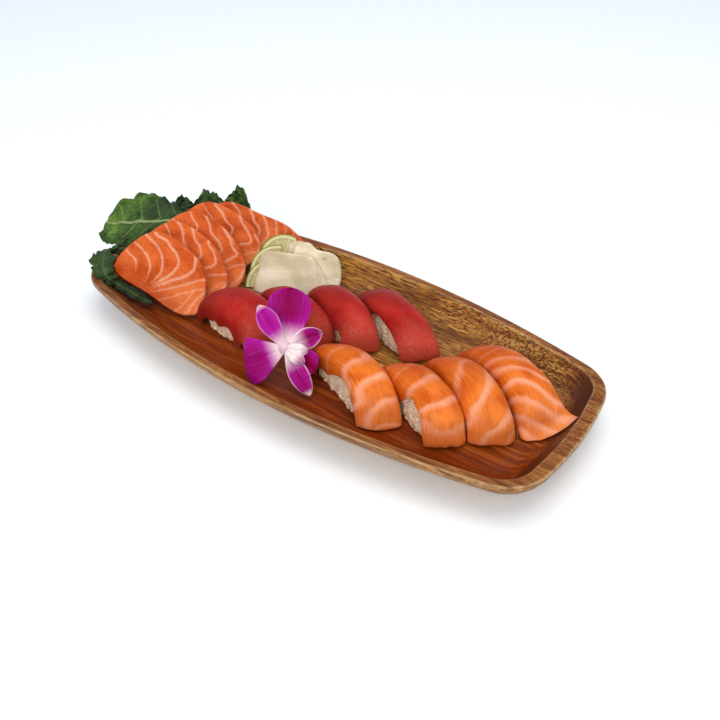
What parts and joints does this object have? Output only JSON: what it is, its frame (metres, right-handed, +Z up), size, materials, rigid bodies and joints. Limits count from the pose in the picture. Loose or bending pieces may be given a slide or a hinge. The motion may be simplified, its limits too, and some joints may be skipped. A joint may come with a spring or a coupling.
{
  "type": "sashimi plate",
  "caption": "Boat-shaped acacia platter of salmon and tuna nigiri with a fan of salmon sashimi, white fish, lime slices, kale leaves and a purple orchid flower.",
  "frame": {"origin": "centre of the platter's underside, in its flat foot", "axes": "+X along the platter, from the sliced salmon to the salmon nigiri; +Y across it, away from the flower; +Z up"},
  "size_m": [0.3846, 0.1594, 0.0602],
  "materials": {
    "wood": "oiled, satin, with the grain along the platter",
    "salmon": "moist raw salmon with pale fat lines",
    "tuna": "moist raw tuna, deep red",
    "rice": "pressed cooked rice, slightly translucent",
    "white_fish": "moist, cream and slightly translucent",
    "lime": "moist cut flesh in a thin green rind",
    "kale": "fresh leaf, soft sheen",
    "orchid": "velvety petals, magenta with a white heart"
  },
  "bodies": {
    "root": {"tray": "wood", "kale_leaf": "kale", "kale_leaf_rear": "kale", "kale_leaf_front": "kale", "salmon_slice_1": "salmon", "salmon_slice_2": "salmon", "salmon_slice_3": "salmon", "salmon_slice_4": "salmon", "salmon_slice_5": "salmon", "lime_slice_1": "lime", "lime_slice_2": "lime", "lime_slice_3": "lime", "white_fish_1": "white_fish", "white_fish_2": "white_fish", "white_fish_3": "white_fish", "tuna_nigiri_1_rice": "rice", "tuna_nigiri_1_fish": "tuna", "tuna_nigiri_2_rice": "rice", "tuna_nigiri_2_fish": "tuna", "tuna_nigiri_3_rice": "rice", "tuna_nigiri_3_fish": "tuna", "tuna_nigiri_4_rice": "rice", "tuna_nigiri_4_fish": "tuna", "salmon_nigiri_1_rice": "rice", "salmon_nigiri_1_fish": "salmon", "salmon_nigiri_2_rice": "rice", "salmon_nigiri_2_fish": "salmon", "salmon_nigiri_3_rice": "rice", "salmon_nigiri_3_fish": "salmon", "salmon_nigiri_4_rice": "rice", "salmon_nigiri_4_fish": "salmon", "orchid_flower": "orchid"}
  },
  "joints": []
}
